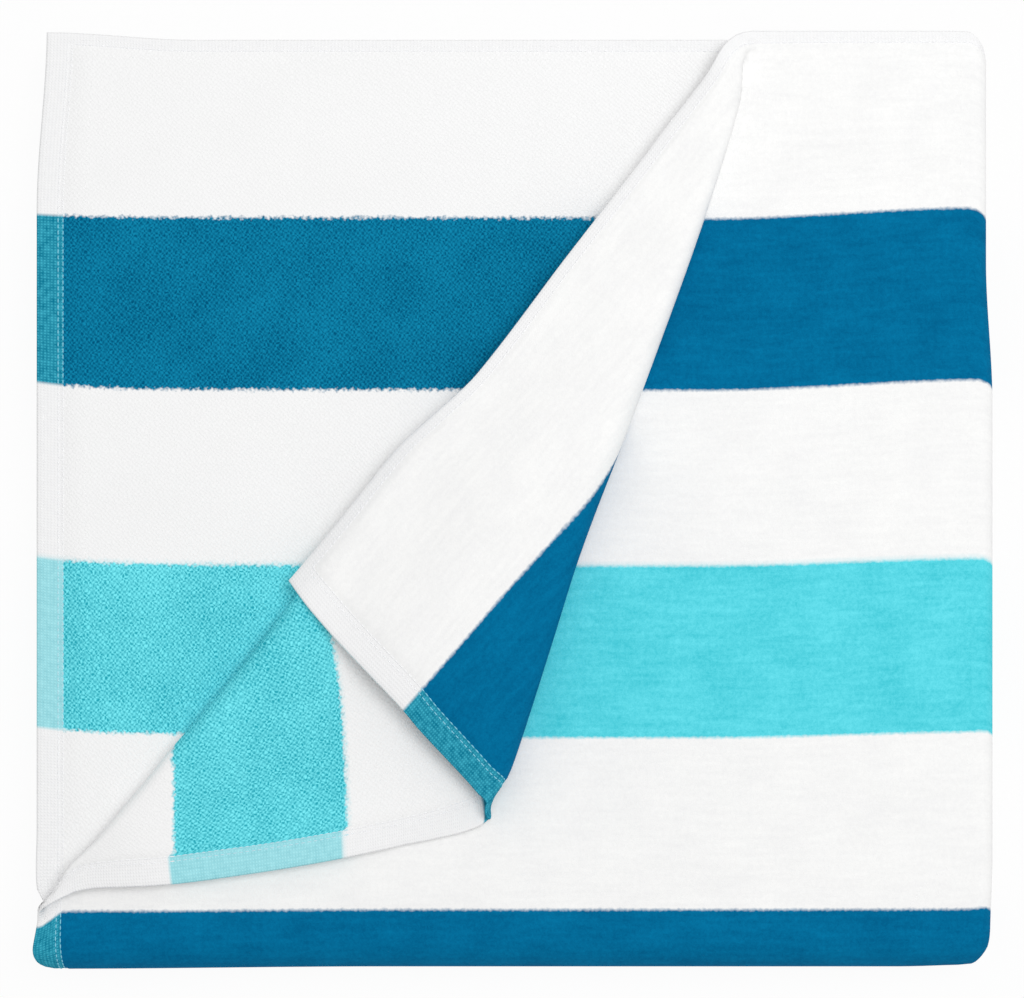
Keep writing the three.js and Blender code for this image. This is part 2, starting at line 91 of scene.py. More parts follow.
# %% Sockets as sums
class Socket:
    """An output of a shader node. Sums of sockets and numbers add their own Math nodes."""

    def __init__(self, output):
        self.output = output

    @staticmethod
    def node(tree, kind, settings=None, sockets=None, output=0):
        """Any node: its settings first, then the values or links of its sockets."""
        made = tree.nodes.new(kind)
        for name, value in (settings or {}).items():
            if name == "stops":
                while len(made.color_ramp.elements) < len(value):
                    made.color_ramp.elements.new(1.0)
                for element, (position, colour) in zip(made.color_ramp.elements, value):
                    element.position, element.color = position, colour
            else:
                setattr(made, name, value)
        for name, value in (sockets or {}).items():
            if isinstance(value, Socket):
                tree.links.new(value.output, made.inputs[name])
            else:
                made.inputs[name].default_value = value
        return Socket(made.outputs[output]) if made.outputs else made

    def sum(self, operation, *values):
        sockets = dict(enumerate(values))
        return Socket.node(self.output.id_data, "ShaderNodeMath", {"operation": operation}, sockets)

    def __add__(self, other):
        return self.sum("ADD", self, other)

    def __sub__(self, other):
        return self.sum("SUBTRACT", self, other)

    def __rsub__(self, other):
        return self.sum("SUBTRACT", other, self)

    def __mul__(self, other):
        return self.sum("MULTIPLY", self, other)

    def __truediv__(self, other):
        return self.sum("DIVIDE", self, other)

    __radd__ = __add__


def srgb(red, green, blue):
    """A colour from its everyday 0 to 255 values, as the linear colour that a shader needs."""
    def linear(value):
        value /= 255
        return value / 12.92 if value <= 0.04045 else ((value + 0.055) / 1.055) ** 2.4
    return (linear(red), linear(green), linear(blue), 1.0)


print("a mid grey as a linear colour", round(srgb(128, 128, 128)[0], 3))

# %% Floor
FLOOR_HALF = 3.0              # half the width of the floor, in metres
FLOOR_GLOW = 0.93             # how much of the floor a camera ray sees as plain white

floor_mesh = bpy.data.meshes.new("floor")
corners = [(-FLOOR_HALF, -FLOOR_HALF, 0), (FLOOR_HALF, -FLOOR_HALF, 0),
           (FLOOR_HALF, FLOOR_HALF, 0), (-FLOOR_HALF, FLOOR_HALF, 0)]
floor_mesh.from_pydata(corners, [], [(0, 1, 2, 3)])
floor = bpy.data.objects.new("floor", floor_mesh)
bpy.context.collection.objects.link(floor)


def floor_paint():
    paint = bpy.data.materials.new("matt white floor")
    paint.use_nodes = True
    tree = paint.node_tree
    tree.nodes.clear()
    matt = Socket.node(tree, "ShaderNodeBsdfDiffuse", {}, {"Color": (0.85, 0.85, 0.85, 1.0)})
    glow = Socket.node(tree, "ShaderNodeEmission", {}, {"Color": (1.0, 1.0, 1.0, 1.0)})
    seen = Socket.node(tree, "ShaderNodeLightPath", output="Is Camera Ray")
    mixed = Socket.node(tree, "ShaderNodeMixShader", {}, {0: seen * FLOOR_GLOW, 1: matt, 2: glow})
    Socket.node(tree, "ShaderNodeOutputMaterial", {}, {"Surface": mixed})
    return paint


floor_mesh.materials.append(floor_paint())
print("floor", 2 * FLOOR_HALF, "m square")

# %% Soft light
AMBIENT = 0.57                # strength of the even light from all round
LAMP_SIZE = 1.5
LAMP_PLACE = (0.65, 0.55, 2.4)
LAMP_WATTS = 32.5

world = bpy.data.worlds.new("studio")
world.use_nodes = True
world.node_tree.nodes.clear()
seen = Socket.node(world.node_tree, "ShaderNodeLightPath", output="Is Camera Ray")
Socket.node(
    world.node_tree, "ShaderNodeOutputWorld", {},
    {"Surface": Socket.node(world.node_tree, "ShaderNodeBackground", {}, {
        "Color": (1.0, 1.0, 1.0, 1.0), "Strength": seen * (1 - AMBIENT) + AMBIENT})})
bpy.context.scene.world = world
bpy.context.scene.view_settings.view_transform = "Standard"

lamp_data = bpy.data.lights.new("overhead", "AREA")
lamp_data.size = LAMP_SIZE
lamp_data.energy = LAMP_WATTS
lamp = bpy.data.objects.new("overhead", lamp_data)
lamp.location = LAMP_PLACE
bpy.context.collection.objects.link(lamp)
print("lamp", LAMP_WATTS, "W at", LAMP_PLACE, "m, even light", AMBIENT)

# %% [markdown]
# ## The cloth and its pile
#
# All the sizes below are in millimetres, as a maker would cut them. The cloth lies eight layers
# deep. A layer is a little thinner than the pitch of the pile, so the layers stay apart. The end
# hems are turned under and woven flat, with no loops, so they are thinner than the cloth. u runs
# along the length, from the hem that lies on top, and v across the width, from the back edge.

# %% Sizes of the cloth
PITCH = 4.6                   # from one layer to the next
CLOTH = 4.0                   # the cloth with its pile
HEM_CLOTH = 2.9
TOP_HEM, SECOND_HEM = 14.4, 13.5   # widths of the end hems, at u = 0 and at the other end
SIDE_HEM = 7.0
WIDTH = 904.0                 # of the flat cloth, across its stripes
FLAT_SCALE = 0.985            # the cloth lies a little slack; the rest gathers in the width fold

RIGHT = 223.6                 # where the pile ends on the right, at the front and at the left
FRONT = -221.0
TOP_HEM_X = -224.2
SECOND_HEM_X = -222.7
LEFT_FOLD_X = -219.4

LAYERS = 4                    # along the length; the width fold doubles them
CAD_CLOTH = 3.4               # the frame's cloth, which has no pile
TOP = (LAYERS - 1) / 2 * PITCH     # from the middle of the four layers to the top one
MID_Z = (2 * LAYERS - 1) / 2 * PITCH + CAD_CLOTH / 2
SLAB_RADIUS = LAYERS / 2 * PITCH
FOLD_Y = FRONT + SLAB_RADIUS + TOP + CAD_CLOTH / 2


def columns(names, *rows):
    """A short table whose columns have names."""
    return np.array(list(rows), dtype=[(name, float) for name in names.split()])


SELVAGES = columns(
    "offset front back",      # offset in pitches from the middle of the four layers, then y
    (-1.5, 214.6, 212.6), (-0.5, 213.2, 211.6), (0.5, 214.6, 213.4), (1.5, 217.9, 215.2))
TOP_SELVAGE = SELVAGES[-1]
pile_height = MID_Z + SLAB_RADIUS + TOP + CAD_CLOTH / 2
print("layers", 2 * LAYERS, "pile", round(pile_height, 1), "mm high")

# %% Curves through a table
def smooth(x):
    """0 up to x = 0, 1 from x = 1, and an easy slope between."""
    x = np.clip(x, 0, 1)
    return x * x * (3 - 2 * x)


def between(x, start, stop):
    """0 up to start, 1 from stop, and an easy slope between. It can also run downwards."""
    return smooth((x - start) / (stop - start))


def mix(a, b, t):
    return a + (b - a) * t


def from_table(table, key, column, x):
    """One column of a table at x, on a smooth curve through its rows."""
    at, value = table[key], table[column]
    x = np.clip(x, at[0], at[-1])
    i = np.clip(np.searchsorted(at, x, side="right") - 1, 0, len(at) - 2)
    before = np.maximum(np.arange(len(at)) - 1, 0)
    after = np.minimum(np.arange(len(at)) + 1, len(at) - 1)
    slope = (value[after] - value[before]) / (at[after] - at[before])
    span = at[i + 1] - at[i]
    t = (x - at[i]) / span
    return ((2 * t**3 - 3 * t**2 + 1) * value[i] + (t**3 - 2 * t**2 + t) * span * slope[i]
            + (3 * t**2 - 2 * t**3) * value[i + 1] + (t**3 - t**2) * span * slope[i + 1])


print("an easy slope a quarter of the way along", round(float(smooth(0.25)), 3))

# %% [markdown]
# ## Quarters along the length
#
# Seen from the front, the towel is one back-and-forth section: the top layer runs right, turns
# under, the fourth runs back left below it, and two more layers lie between them. Straights and
# half circles describe that section, so it is written as a table and walked with u.

# %% Back and forth along the length
TURN_X = RIGHT - TOP - CAD_CLOTH / 2
LEFT_TURN_X = LEFT_FOLD_X + PITCH / 2 + CAD_CLOTH / 2
SECTION = columns(
    "length x offset radius direction",      # radius is 0 on a straight, negative turning inwards
    (TURN_X - TOP_HEM_X, TOP_HEM_X, TOP, 0, 1),
    (math.pi * TOP, TURN_X, 0, TOP, 1),
    (TURN_X - LEFT_TURN_X, TURN_X, -TOP, 0, -1),
    (math.pi * PITCH / 2, LEFT_TURN_X, -PITCH, -PITCH / 2, -1),
    (TURN_X - LEFT_TURN_X, LEFT_TURN_X, -PITCH / 2, 0, 1),
    (math.pi * PITCH / 2, TURN_X, 0, -PITCH / 2, 1),
    (TURN_X - SECOND_HEM_X, TURN_X, PITCH / 2, 0, -1))
STARTS = np.concatenate([[0], np.cumsum(SECTION["length"])])
LENGTH = STARTS[-1]
TOP_LENGTH = SECTION["length"][0]
SECOND_START = STARTS[6]      # where the second layer begins, the last row of the section
print("flat cloth", round(WIDTH), "x", round(LENGTH), "mm")


def along_length(u):
    """x, and the distance from the middle of the four layers."""
    row = np.clip(np.searchsorted(STARTS, u + 1e-9, side="right") - 1, 0, len(SECTION) - 1)
    piece, s = SECTION[row], u - STARTS[row]
    radius = np.abs(piece["radius"])
    turning = radius > 0
    angle = s / np.where(turning, radius, 1)
    run = np.where(turning, radius * np.sin(angle), s)
    offset = piece["offset"] + np.where(turning, piece["radius"] * np.cos(angle), 0)
    return piece["x"] + piece["direction"] * run, offset


# %% Half across the width
def across_width(v, offset):
    """y and z, round the fold at the front."""
    front = from_table(SELVAGES, "offset", "front", offset / PITCH)
    back = from_table(SELVAGES, "offset", "back", offset / PITCH)
    radius = SLAB_RADIUS + offset
    fold_start = (front - FOLD_Y) / FLAT_SCALE
    fold_end = WIDTH - (back - FOLD_Y) / FLAT_SCALE
    angle = np.pi * np.clip((v - fold_start) / (fold_end - fold_start), 0, 1)
    before, after = v < fold_start, v > fold_end
    y = np.where(before, front - v * FLAT_SCALE,
                 np.where(after, back - (WIDTH - v) * FLAT_SCALE, FOLD_Y - radius * np.sin(angle)))
    return y, MID_Z + radius * np.cos(angle)


print("fold at y", round(FOLD_Y, 1), "radius", round(SLAB_RADIUS, 1), "mm")

# %% [markdown]
# ## The turned corner
#
# Two folds cross the top layer, and both run out from one point just behind the back edge, like
# the ribs of a fan. So the corner is worked out in polar steps round that point: at each distance
# r, a section across the folds says where the cloth lies. The cloth goes up and over the near
# roll, comes back as a middle layer with its loops up, goes over the far roll, and ends as a flap
# with its velour up. Each row of the table is one such section.

# %% Sections across the two folds
APEX_X, APEX_Y = 118.0, 223.5      # the point that both folds run out from
FOLDS = columns(
    # near and far are the directions of the folds and turn is an angle, in degrees; the rolls are
    # radii; curl is how far round the rolls go; flap is how closely the flap's cloth is gathered
    "r near far turn near_roll far_roll curl flap",
    (5, 242, 251.0, 4.0, 2.4, 2.4, 0.05, 0.92),
    (12, 241, 251.0, 10.0, 2.4, 2.4, 0.32, 0.92),
    (20, 240, 251.0, 24.0, 2.4, 2.4, 0.62, 0.92),
    (30, 238, 250.6, 33.0, 2.4, 2.4, 0.9, 0.92),
    (45, 235.6, 250.8, 38.6, 2.5, 2.6, 1, 0.92),
    (60, 234.0, 251.6, 42.0, 2.6, 3.0, 1, 0.92),
    (95, 232.6, 251.8, 46.0, 3.0, 4.6, 1, 0.91),
    (160, 231.6, 251.2, 48.6, 4.0, 7.2, 1, 0.88),
    (213, 231.3, 250.75, 49.6, 4.6, 9.2, 1, 0.825),
    (240, 231.25, 250.5, 48.9, 4.8, 10.0, 1, 0.885),
    (262, 231.2, 250.43, 48.3, 5.0, 10.4, 1, 0.925),
    (300, 231.15, 250.45, 48.4, 5.2, 10.2, 1, 0.886),
    (342, 231.25, 250.23, 48.45, 5.4, 9.2, 1, 0.85),
    (390, 231.35, 250.04, 48.45, 6.0, 4.4, 1, 0.85),
    (428, 231.35, 250.04, 48.45, 6.4, 3.6, 1, 0.85),
    (465, 231.15, 250.04, 48.45, 5.6, 3.6, 1, 0.85),
    (503, 231.05, 250.04, 48.45, 4.2, 3.6, 1, 0.85),
    (520, 231.2, 250.04, 48.45, 3.6, 3.6, 1, 0.85),
    (541, 230.9, 250.04, 48.45, 3.0, 3.6, 1, 0.85))
NEAR_SLOPE = 46.0             # how far the middle layer takes to come down from the near roll
FLAP_LIFT = 1.2               # how far the flap stands clear of the middle layer at the near roll
GATHER = 2.6                  # how the middle layer's spare cloth gathers at the far roll
DROOP = 0.03                  # how the flap droops past the near roll
CURLING, CURLED = 30, 45      # between these distances from the point the curl lies down flat
LEAST_SPARE, MOST_SPARE = 0.7, 1.6     # the middle layer's length over the way it goes
LIFT_OFF = 3.0                # the pulls grow over this height, so the flat layer stays put

HEM_PULLS = columns(
    "v dx dy reach",          # how the folded end hem was pulled out of line, and how far in
    (0, 1.4, -2.2, 105), (20, 0.5, -5.2, 105), (40, 0.7, -7.6, 105), (89, 1, -8.9, 105),
    (103, 0.9, -10, 105), (147, 2, -11.2, 105), (172, 1, -12.8, 105), (200, -0.6, -12.2, 105),
    (220, -2.4, -10.8, 105), (252, -5, -7.3, 105), (275, -8, -5.4, 100), (300, -10.2, -3.5, 98),
    (334, -11.7, -0.4, 90), (350, -11.9, 2, 62), (368, -12.3, 5.3, 44), (378, -13.1, 7.5, 36),
    (386, -14.2, 8.6, 32), (394, -13.3, 7, 30), (400, -8.8, 4.2, 28), (404, -4.4, 2.3, 28),
    (409, 0, 0, 28))
TIP_PULLS = columns(
    "v dx dy",                # and how the very tip of the flap was pulled further
    (147, 0, 0), (153, 0.1, 0.5), (157, -2.5, -0.6), (161, -2.3, -2), (165, 1.1, -2.3),
    (168.5, 4.9, -1.6), (172, 5.6, -2), (175.5, 4.5, -2.7), (185, 1.9, -3), (200, 0.5, -1.6),
    (220, 0, 0))
TIP_REACH = 22.0              # how far in from the hem
HEM_SLIP = columns(
    "v dx dy",                # how the hem slips where the near fold meets it
    (392, 0, 0), (398, 0.8, -2.5), (404, 2.4, -6), (409, 3, -7.6), (415.5, 2.3, -7.5),
    (430, 0.4, -4.4), (450, 0, -1.4), (480, 0, 0))
SLIP_REACH = 17.0             # how far in from the hem


def fold_section(r):
    """All about the folds at a distance r, and where on the cloth each roll begins and ends."""
    def at(column):
        return from_table(FOLDS, "r", column, r)

    near, far = np.radians(at("near")), np.radians(at("far"))
    near_roll, far_roll, flap_scale = at("near_roll"), at("far_roll"), at("flap")
    bend = np.pi * np.clip(at("curl"), 0, 1)
    near_start = near + near_roll / r
    near_end = near_start - bend * near_roll / r
    selvage = np.pi + np.arcsin(np.minimum((APEX_Y - TOP_SELVAGE["front"]) / r, 1))
    flap = np.maximum(far - far_roll / r - selvage - np.radians(at("turn")), 0) / flap_scale
    far_end = np.minimum(selvage + flap, near_end - bend * far_roll / r - 1e-4)
    far_start = far_end + bend * far_roll / r
    return near, far, near_roll, far_roll, bend, near_start, near_end, far_start, far_end


def across_folds(r, direction):
    """The near fold's direction, the distance q across from it, and the height h lifted."""
    near, far, near_roll, far_roll, bend, near_start, near_end, far_start, far_end = fold_section(r)
    near_top = near_roll * (1 - np.cos(bend))
    near_q = near_roll - near_roll * np.sin(bend)
    middle = r * (near_end - far_start)
    laid = between(r, CURLING, CURLED)
    far_q = mix(near_q - np.cos(bend) * middle, r * (far - near) - far_roll, laid)

    def ease(q):
        return smooth((q - near_q) / np.minimum(NEAR_SLOPE, np.maximum(far_q - near_q, 1)))

    def middle_h(q):
        return mix(near_top, np.minimum(PITCH, near_top), ease(q) * laid)

    angle = r * (near_start - direction) / near_roll
    on_near = near_roll - near_roll * np.sin(angle), near_roll * (1 - np.cos(angle))

    t = np.maximum(r * (near_end - direction) / np.maximum(middle, 1e-6), 0)
    reach = far_q - near_q
    spare = np.clip(middle / np.maximum(reach, 1e-6), LEAST_SPARE, MOST_SPARE)
    spare = mix(1, spare, laid)
    q = near_q + reach * (spare * t - (spare - 1) * t**GATHER)
    on_middle = q, middle_h(q) + (1 - laid) * np.sin(bend) * middle * t

    rise = middle_h(far_q) + (1 - laid) * np.sin(bend) * middle
    angle = bend - r * (far_start - direction) / far_roll
    on_far = (far_q + far_roll * (np.sin(angle) - np.sin(bend)),
              rise + far_roll * (np.cos(angle) - np.cos(bend)))

    flap_scale = from_table(FOLDS, "r", "flap", r)
    q = far_q - far_roll * np.sin(bend) - flap_scale * r * (far_end - direction)
    far_top = rise + far_roll * (1 - np.cos(bend))
    droop = DROOP * np.maximum(near_roll - q, 0)**2
    on_flap = q, mix(near_top + PITCH + FLAP_LIFT, far_top, mix(1, ease(q), laid)) - droop * laid

    where = [direction >= near_end, direction >= far_start, direction >= far_end]
    parts = list(zip(on_near, on_middle, on_far, on_flap))
    q, h = (np.select(where, part[:3], part[3]) for part in parts)
    return near, q, h


def turn_corner(x, y, z, u, v):
    """Lifts the corner of the top layer off the pile and lays it over both folds."""
    dx, dy = x - APEX_X, y - APEX_Y
    r = np.hypot(dx, dy)
    direction = np.arctan2(dy, dx) % (2 * np.pi)
    near_start = fold_section(r)[5]
    turned = (r <= FOLDS["r"][-1]) & (direction < near_start) & (u < TOP_LENGTH) & (v < WIDTH / 2)
    near, q, h = across_folds(r, direction)
    lifted = smooth(h / LIFT_OFF)
    pull = (1 - smooth(u / from_table(HEM_PULLS, "v", "reach", v))) * lifted
    tip = (1 - smooth(u / TIP_REACH)) * lifted
    pull_x = from_table(HEM_PULLS, "v", "dx", v) * pull + from_table(TIP_PULLS, "v", "dx", v) * tip
    pull_y = from_table(HEM_PULLS, "v", "dy", v) * pull + from_table(TIP_PULLS, "v", "dy", v) * tip
    angle = near + q / r
    turned_x = APEX_X + r * np.cos(angle) + pull_x
    turned_y = APEX_Y + r * np.sin(angle) + pull_y
    return np.where(turned, turned_x, x), np.where(turned, turned_y, y), np.where(turned, z + h, z)


print("turned corner reaches", FOLDS["r"][-1], "mm from its point")

# %% [markdown]
# ## Soft outline
#
# Real folding is never square. The corners of the pile are rounded, its right and left edges lean
# a little, and the stripes rise towards the right.

# %% Out of true
SOFT_CORNERS = columns(
    "x y radius", (RIGHT, 217.9, 10), (RIGHT, FRONT, 9), (TOP_HEM_X, FRONT, 12))
RISE = columns(
    "y rise", (-218, 0), (-190, 0.2), (-115, 2.7), (-33, 3.5), (48, 4.9), (131, 5.2), (200, 1.0),
    (218, 0))
FRONT_LEAN, LEFT_LEAN = -1.1, 4.7
RIGHT_LEAN = {"front": 1.4, "back": -1.6}
NARROWING = 0.012             # how much the very edge of the right folds draws in


def soften(x, y, z):
    """Rounds the corners of the pile and leans its edges, all seen from above."""
    for corner in SOFT_CORNERS:
        radius, side_x, side_y = corner["radius"], np.sign(corner["x"]), np.sign(corner["y"])
        centre_x, centre_y = corner["x"] - side_x * radius, corner["y"] - side_y * radius
        a, b = side_x * (x - centre_x) / radius, side_y * (y - centre_y) / radius
        inside = (a > 0) & (b > 0)
        round_x = centre_x + side_x * radius * a * np.sqrt(np.maximum(1 - b * b / 2, 0))
        round_y = centre_y + side_y * radius * b * np.sqrt(np.maximum(1 - a * a / 2, 0))
        x, y = np.where(inside, round_x, x), np.where(inside, round_y, y)
    front_lean = FRONT_LEAN * between(x, -60, -210) * between(y, -150, -210)
    at_back = between(y, 40, 106)
    right_lean = mix(RIGHT_LEAN["front"], RIGHT_LEAN["back"], at_back) * between(x, 80, 210)
    left_lean = LEFT_LEAN * between(y, 135, 220) * between(x, -150, -220)
    rise = from_table(RISE, "y", "rise", y) * between(x, 90, 222)
    narrow = 1 - NARROWING * between(x, 212, 224)
    return x + right_lean + left_lean, (y + rise + front_lean) * narrow, z


# The second layer, which shows on the left, wasn't laid quite straight: how far it lies towards
# the back, and how far its back edge is drawn forwards, away from its hem.
SECOND_SHIFT = columns(
    "v dy hem_dx hem_dy",     # the hem_ columns are how much further its hem is out of place
    (0, 3.5, 0, 0), (87, 4.4, 0, 1.6), (170, 3.8, 0, 3.7), (252, 3.5, 0, 4.0),
    (335, 4.5, 0, 3.4), (380, 3.4, 0, 1.2), (404, 1.5, 0, 0), (411, 1, 3.5, 0),
    (424, 0, 4, 0), (440, 0, 3, 0), (470, 0, 0, 0))
SECOND_EASE = 80.0            # over how much of its length the second layer comes out of line
HEM_REACH = 24.0              # how far in from the hem the hem_ columns reach
SECOND_TUCK = 3.5
TUCK_GROWS, TUCK_FADES = 75, 60    # over this much of x from the hem, and of v from the back
MIDDLE_LIFT = 3.6             # how much further the middle layer's hem stands off the cloth below
LIFT_REACH = 45.0             # how far in from the hem
LIFT_GROWS, LIFT_FADES = (215, 275), (388, 343)    # in v, along the hem, from none to all of it
PINCHES = columns(
    "x y reach lost",         # places where tight folds press the cloth thinner
    (220, -207, 40, 0.55), (-206, -175, 46, 0.72), (-14, -142, 26, 0.72), (110, 210, 26, 0.7))


def middle_of_cloth(u, v):
    """The place on the pile, in millimetres, of the middle of the cloth at (u, v)."""
    x, offset = along_length(u)
    y, z = across_width(v, offset)
    tuck = SECOND_TUCK * smooth((x - SECOND_HEM_X) / TUCK_GROWS) * (1 - smooth(v / TUCK_FADES))
    on_second = smooth((u - SECOND_START) / SECOND_EASE)
    at_hem = on_second * np.exp((SECOND_HEM_X - x) / HEM_REACH)
    y = y + (from_table(SECOND_SHIFT, "v", "dy", v) - tuck) * on_second
    y = y + from_table(SECOND_SHIFT, "v", "hem_dy", v) * at_hem
    x = x + from_table(SECOND_SHIFT, "v", "hem_dx", v) * at_hem
    at_hem = 1 - smooth(u / SLIP_REACH)
    x = x + from_table(HEM_SLIP, "v", "dx", v) * at_hem
    y = y + from_table(HEM_SLIP, "v", "dy", v) * at_hem
    x, y, z = soften(*turn_corner(x, y, z, u, v))
    along_hem = between(v, *LIFT_GROWS) * between(v, *LIFT_FADES)
    lift = MIDDLE_LIFT * along_hem * (1 - smooth(u / LIFT_REACH))
    return np.stack([x, y, z + lift], axis=-1)


print("hem at the flap's corner", middle_of_cloth(np.array([0.0]), np.array([0.0])).round(1))

# %% [markdown]
# ## One grid for the whole towel
#
# The grid is a table of u columns and v rows. Its lines are close together where the cloth bends
# and at its edges, and far apart on the layers inside the pile, which nobody sees. On the turned
# corner the rows follow the two rolls, because a roll that crosses the grid at an angle would
# come out ragged. Past the corner the same rows spread out again to even steps.

# %% Columns of the grid
def spread(start, stop, steps):
    return np.linspace(start, stop, steps, endpoint=False)


EDGE_LINES = np.array([0, 0.25, 0.8, 1.7, 3.6])    # close together where the edge is round
PAST_HEM = 18.5               # the first column past an end hem


def end_lines(hem):
    return np.concatenate([EDGE_LINES, [8, 11, hem - 0.8, hem + 0.8]])


SIDE_LINES = np.concatenate([EDGE_LINES, [SIDE_HEM - 0.7, SIDE_HEM + 0.7]])
CORNER_END = APEX_X - TOP_HEM_X - 6    # just short of the point of the folds

TURN_STEPS = {1: 14, 2: 8, 3: 10, 4: 8, 5: 10}    # along each row of the section inside the pile
VISIBLE_SECOND = 350.0        # how much of the second layer can be seen past the corner
corner_columns = np.concatenate(
    [end_lines(TOP_HEM), spread(PAST_HEM, CORNER_END, 72), [CORNER_END]])
rest_columns = [spread(CORNER_END, TOP_LENGTH, 18)[1:]]
for piece, steps in TURN_STEPS.items():
    rest_columns.append(spread(STARTS[piece], STARTS[piece + 1], steps))
rest_columns += [
    spread(SECOND_START, LENGTH - VISIBLE_SECOND, 5),
    spread(LENGTH - VISIBLE_SECOND, LENGTH - PAST_HEM, 64),
    LENGTH - end_lines(SECOND_HEM)[::-1]]
U_LINES = np.concatenate([corner_columns, *rest_columns])
print("columns", len(U_LINES))

# %% Rows of the grid
ROW_STEPS = {"flap": 34, "far roll": 14, "middle": 46, "near roll": 12, "flat": 42}
LEAST_ROW = 0.3               # rows stay at least this far apart, near the point of the folds
FOLD_START = (TOP_SELVAGE["front"] - FOLD_Y) / FLAT_SCALE
FOLD_END = WIDTH - (TOP_SELVAGE["back"] - FOLD_Y) / FLAT_SCALE


def v_of_mark(u, mark):
    """v at column u of a mark of fold_section, such as where a roll begins."""
    dx = TOP_HEM_X + u - APEX_X
    r = np.abs(dx) * 1.5          # a first guess
    for _ in range(40):           # enough rounds to settle
        y = dx * np.tan(fold_section(r)[mark])
        r = np.hypot(dx, y)
    return (TOP_SELVAGE["front"] - APEX_Y - y) / FLAT_SCALE


def front_rows():
    """v of each row at each column, from the back edge to the fold at the front."""
    at = np.minimum(U_LINES, CORNER_END)
    stops = [np.full(at.shape, SIDE_LINES[-1])]
    for mark, steps in zip((8, 7, 6, 5), list(ROW_STEPS.values())[:4]):
        stops.append(np.maximum(v_of_mark(at, mark), stops[-1] + LEAST_ROW * steps))
    stops.append(np.full(at.shape, FOLD_START))
    rows = [np.broadcast_to(line, at.shape) for line in SIDE_LINES[:-1]]
    for start, stop, steps in zip(stops, stops[1:], ROW_STEPS.values()):
        rows += [mix(start, stop, i / steps) for i in range(steps)]
    rows = np.stack(rows, axis=1)
    first = len(SIDE_LINES) - 1
    even = rows.copy()
    even[:, first:] = spread(SIDE_LINES[-1], FOLD_START, rows.shape[1] - first)
    past = between(U_LINES, CORNER_END, TOP_LENGTH)
    return mix(rows, even, past[:, None])


fold_rows = spread(FOLD_START, FOLD_END, 20)
back_rows = np.concatenate([spread(FOLD_END, WIDTH - SIDE_LINES[-1], 10), WIDTH - SIDE_LINES[::-1]])
V = front_rows()
V = np.hstack([V, np.tile(np.concatenate([fold_rows, back_rows]), (len(U_LINES), 1))])
U = np.broadcast_to(U_LINES[:, None], V.shape)
print("grid", V.shape, "cells", (V.shape[0] - 1) * (V.shape[1] - 1))

# %% [markdown]
# ## Two faces and a soft edge
#
# The map gives the middle of the cloth. Each face lies half a thickness away, along the direction
# square to the cloth, which comes from two short steps along u and v. Towards an edge the two
# faces close in on each other in a quarter circle, so the edge is round, as a turned hem is, and
# the faces can share their outermost points. The mesh is then closed without a separate rim.

# %% Faces of the cloth
EDGE_RADIUS = 1.7
END_STEP, SIDE_STEP = 1.6, 1.4     # how far the cloth takes to thicken past a hem
STEP = 0.4                    # the short steps that find the direction square to the cloth


def edge_distance(u, v):
    return np.minimum(np.minimum(u, LENGTH - u), np.minimum(v, WIDTH - v))


def pinch(place):
    """How much of its thickness the cloth keeps at a place on the pile."""
    kept = np.ones(place.shape[:-1])
    for tight in PINCHES:
        away = np.hypot(place[..., 0] - tight["x"], place[..., 1] - tight["y"])
        kept = np.minimum(kept, 1 - tight["lost"] * (1 - smooth(away / tight["reach"])))
    return kept


def half_thickness(u, v):
    end = np.minimum(u - TOP_HEM, LENGTH - SECOND_HEM - u)
    side = np.minimum(v, WIDTH - v) - SIDE_HEM
    pile = smooth(end / END_STEP + 0.5) * smooth(side / SIDE_STEP + 0.5)
    close = 1 - np.clip(edge_distance(u, v) / EDGE_RADIUS, 0, 1)
    return mix(HEM_CLOTH, CLOTH, pile) / 2 * np.sqrt(1 - close**2)


def square_to_cloth(u, v):
    u_low, u_high = np.maximum(u - STEP, 0), np.minimum(u + STEP, LENGTH)
    v_low, v_high = np.maximum(v - STEP, 0), np.minimum(v + STEP, WIDTH)
    along = middle_of_cloth(u_high, v) - middle_of_cloth(u_low, v)
    across = middle_of_cloth(u, v_high) - middle_of_cloth(u, v_low)
    square = np.cross(across, along)
    return square / np.linalg.norm(square, axis=-1, keepdims=True)


def on_face(u, v, side, proud=0.0):
    """A point of the velour face (side 1) or the terry face (side -1)."""
    place = middle_of_cloth(u, v)
    away = side * (half_thickness(u, v) * pinch(place) + proud)
    return place + square_to_cloth(u, v) * away[..., None]


velour_points = on_face(U, V, 1)
terry_points = on_face(U, V, -1)
box_low = np.minimum(velour_points, terry_points).min(axis=(0, 1))
box_high = np.maximum(velour_points, terry_points).max(axis=(0, 1))
sheet_middle, frame_middle = (box_low + box_high) / 2, (cad_low + cad_high) / 2 / MM
CENTRE = np.array([*sheet_middle[:2], 0]) - np.array([*frame_middle[:2], 0])
print("sheet box", (box_high - box_low).round(1), "frame box", ((cad_high - cad_low) / MM).round(1),
      "centre", CENTRE.round(2))

# %% The towel's mesh
HEM_JOG = 2.8                 # how far the stripes of the turned hem miss those of the pile
VELOUR, TERRY, HEM = range(3)      # the order of the finishes


